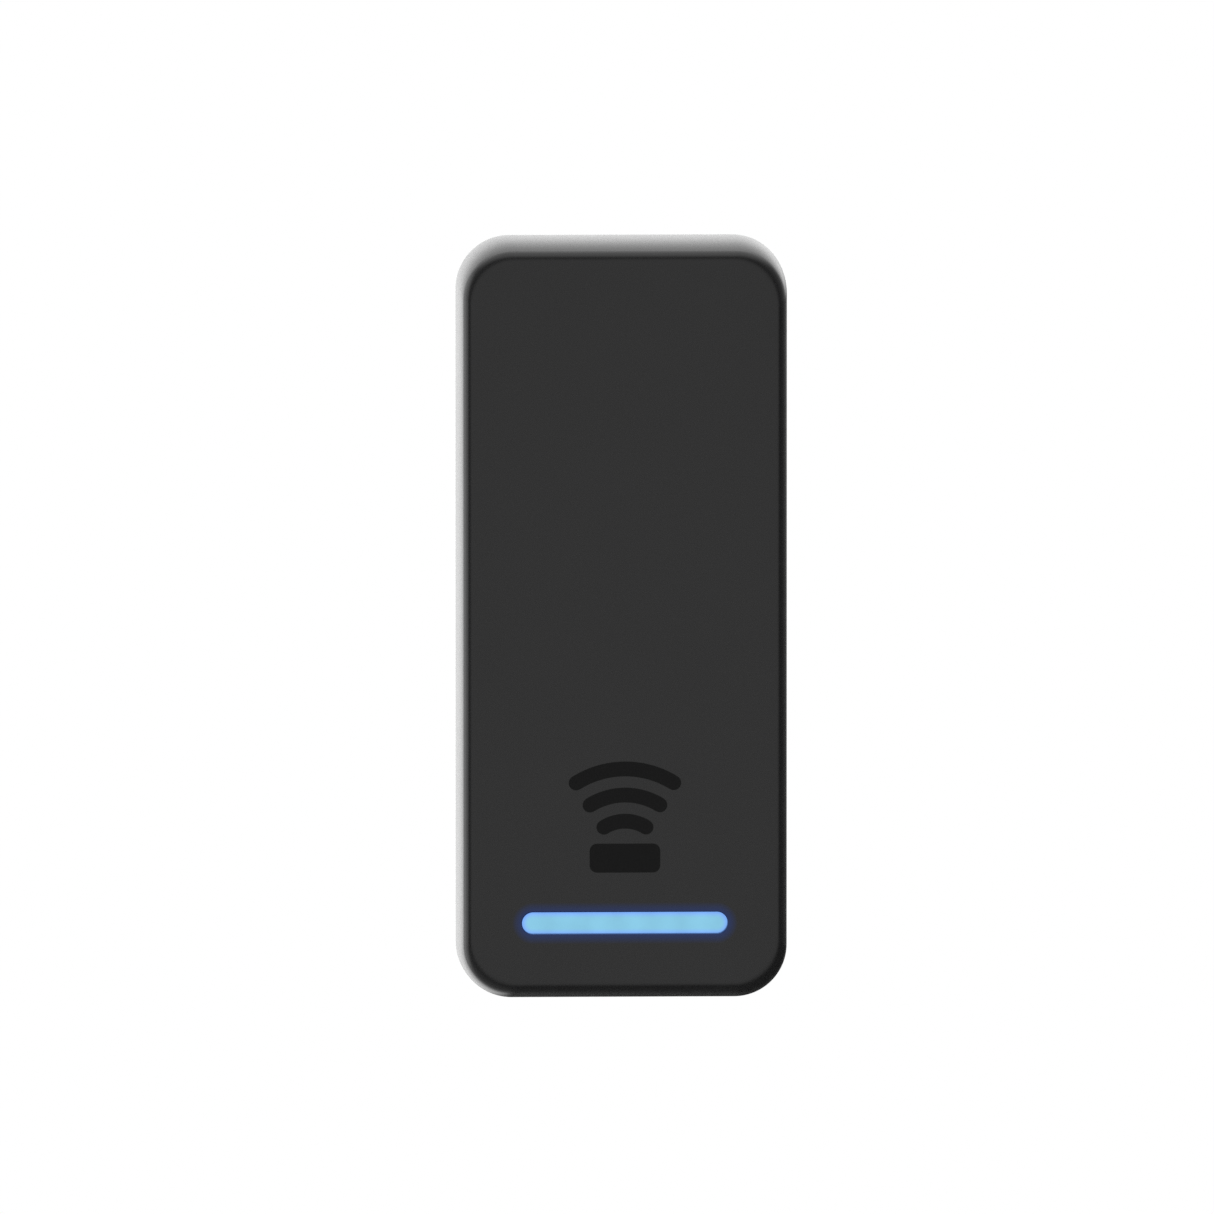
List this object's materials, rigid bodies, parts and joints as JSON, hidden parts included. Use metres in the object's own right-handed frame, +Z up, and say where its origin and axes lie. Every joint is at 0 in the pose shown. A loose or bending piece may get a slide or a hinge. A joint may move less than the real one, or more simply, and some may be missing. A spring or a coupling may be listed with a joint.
{
  "type": "wall-mount rfid card reader",
  "caption": "Slim upright wall-mount card reader with round corners and a lit status bar, hung on a hooked steel wall bracket and locked by a screw from below.",
  "frame": {"origin": "middle of the wall bracket's back face, on the wall, half way up the reader", "axes": "+Z up, +Y into the wall, -Y out of the reader's face towards whoever presents a card, +X to that person's right"},
  "size_m": [0.058, 0.019, 0.134],
  "materials": {
    "casing_plastic": "fine moulded texture, black",
    "dark_plastic": "plain moulded, black",
    "lit_lens": "translucent diffuser, lit pale blue",
    "light_guide_acrylic": "clear, frosted back",
    "led_package": "moulded package",
    "circuit_board": "green solder mask",
    "copper_track": "etched copper",
    "ferrite": "matt dark grey",
    "stainless_steel": "brushed",
    "brass": "turned",
    "gold_contact": "plated",
    "screw_black_oxide": "black oxide steel",
    "silicone_rubber": "matt",
    "vent_membrane": "porous film",
    "chip_epoxy": "moulded epoxy",
    "ceramic": "fired ceramic",
    "aluminium_can": "drawn can",
    "button_grey": "plain moulded"
  },
  "bodies": {
    "bracket": {"wall_bracket": "stainless_steel"},
    "reader": {"front_cover": "casing_plastic", "rear_housing": "dark_plastic", "light_lens": "lit_lens", "light_guide": "light_guide_acrylic", "status_led_1": "led_package", "status_led_2": "led_package", "status_led_3": "led_package", "status_led_4": "led_package", "status_led_5": "led_package", "status_led_6": "led_package", "perimeter_gasket": "silicone_rubber", "jack_seal": "silicone_rubber", "vent_membrane": "vent_membrane", "main_board": "circuit_board", "antenna_board": "circuit_board", "antenna_coil": "copper_track", "ferrite_sheet": "ferrite", "antenna_header": "chip_epoxy", "network_jack": "chip_epoxy", "jack_contacts": "gold_contact", "radio_shield": "stainless_steel", "controller_chip": "chip_epoxy", "memory_chip": "chip_epoxy", "clock_crystal": "stainless_steel", "network_magnetics": "chip_epoxy", "power_transformer": "ferrite", "chip_antenna": "ceramic", "capacitor_1": "aluminium_can", "capacitor_2": "aluminium_can", "buzzer": "chip_epoxy", "housing_screw_1": "screw_black_oxide", "housing_screw_2": "screw_black_oxide", "housing_screw_3": "screw_black_oxide", "housing_screw_4": "screw_black_oxide", "housing_screw_5": "screw_black_oxide", "housing_screw_6": "screw_black_oxide", "board_screw_1": "stainless_steel", "board_screw_2": "stainless_steel", "board_screw_3": "stainless_steel", "board_screw_4": "stainless_steel", "screw_insert": "brass", "reset_switch": "chip_epoxy", "tamper_switch": "chip_epoxy", "tamper_spring": "stainless_steel"},
    "washer": {"screw_washer": "stainless_steel"},
    "locking_screw": {"security_screw": "screw_black_oxide"},
    "reset_key": {"reset_button": "button_grey"},
    "tamper_pin": {"tamper_plunger": "dark_plastic"}
  },
  "joints": [
    {"name": "reader_lift", "type": "slide", "parent": "bracket", "child": "reader", "axis": [0, 0, 1], "range_m": [0, 0.007]},
    {"name": "washer_slide", "type": "slide", "parent": "bracket", "child": "washer", "axis": [0, 0, -1], "range_m": [0, 0.0054]},
    {"name": "screw_turn", "type": "hinge", "parent": "washer", "child": "locking_screw", "pos_m": [0, -0.004, -0.065], "axis": [0, 0, -1], "range_deg": [0, 4325]},
    {"name": "reset_press", "type": "slide", "parent": "reader", "child": "reset_key", "axis": [0, -1, 0], "range_m": [0, 0.0005], "stiffness_N_per_m": 2000, "springref_m": -0.0003},
    {"name": "tamper_release", "type": "slide", "parent": "reader", "child": "tamper_pin", "axis": [0, 1, 0], "range_m": [0, 0.0015], "deforming": ["tamper_spring"]}
  ],
  "couplings": [
    {"joint": "screw_turn", "follows": "washer_slide", "rad_per_m": 13963}
  ]
}
